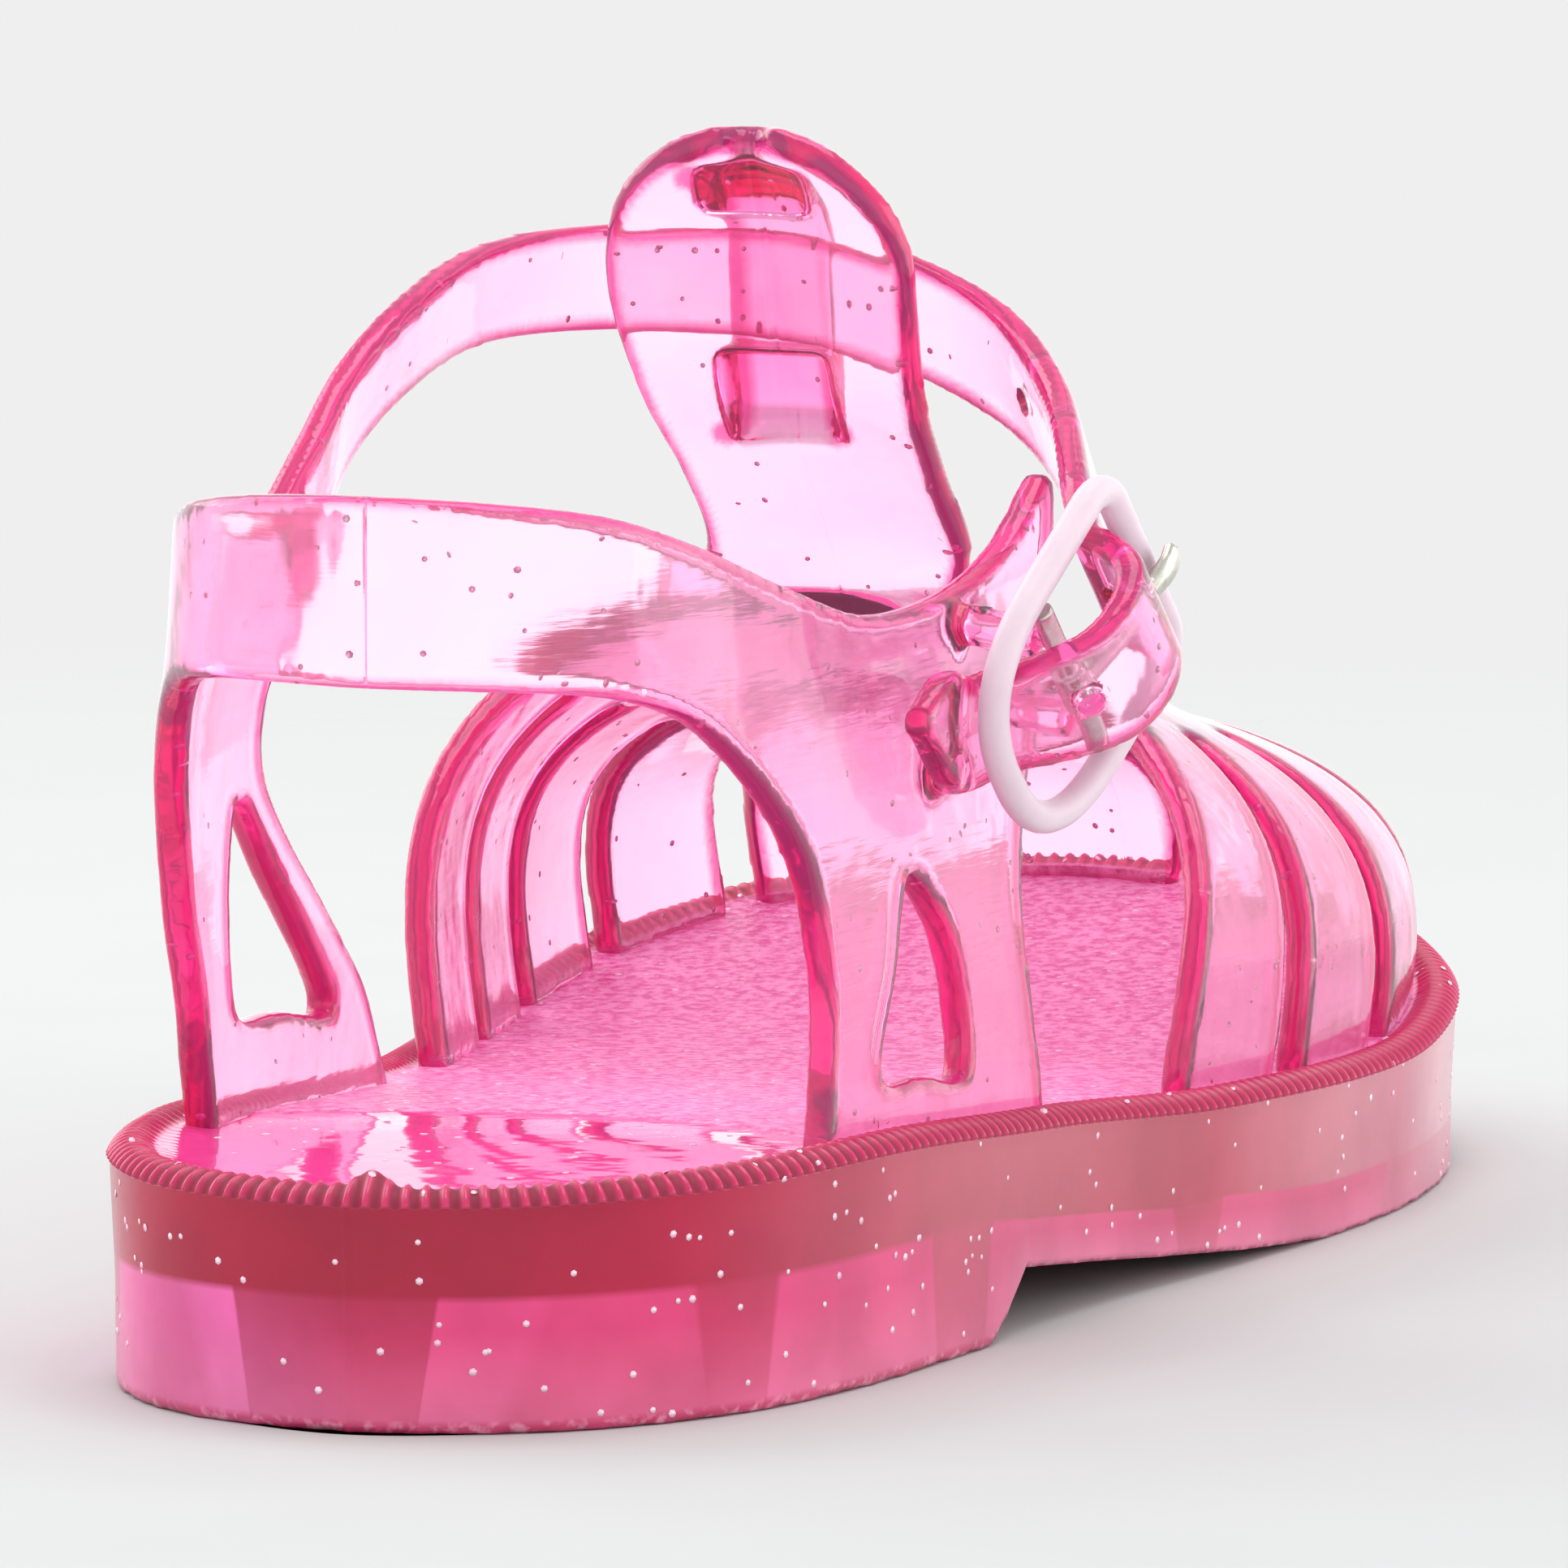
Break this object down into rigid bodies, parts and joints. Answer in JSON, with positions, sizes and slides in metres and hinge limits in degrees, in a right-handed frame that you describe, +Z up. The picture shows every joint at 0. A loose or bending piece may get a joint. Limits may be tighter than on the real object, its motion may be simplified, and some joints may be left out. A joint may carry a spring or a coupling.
{
  "type": "jelly sandal",
  "caption": "Child's moulded PVC jelly sandal, right shoe: fanned toe strips, T-bar tongue with a strap loop, heel band on split posts, buckled ankle strap and thick hollow-ribbed sole",
  "frame": {"origin": "on the floor under the middle of the shoe's bounding box", "axes": "+X to the toe, +Y to the inner (medial) side of the foot, +Z up"},
  "size_m": [0.1774, 0.0728, 0.0781],
  "materials": {
    "sole_pvc": "translucent, glossy, with glitter",
    "upper_pvc": "translucent, glossy, with glitter",
    "buckle_plastic": "milky satin",
    "prong_steel": "nickel-plated, satin"
  },
  "bodies": {
    "root": {"sole": "sole_pvc", "toe_cage": "upper_pvc", "heel_quarter": "upper_pvc", "buckle_frame": "buckle_plastic", "buckle_prong": "prong_steel"}
  },
  "joints": []
}
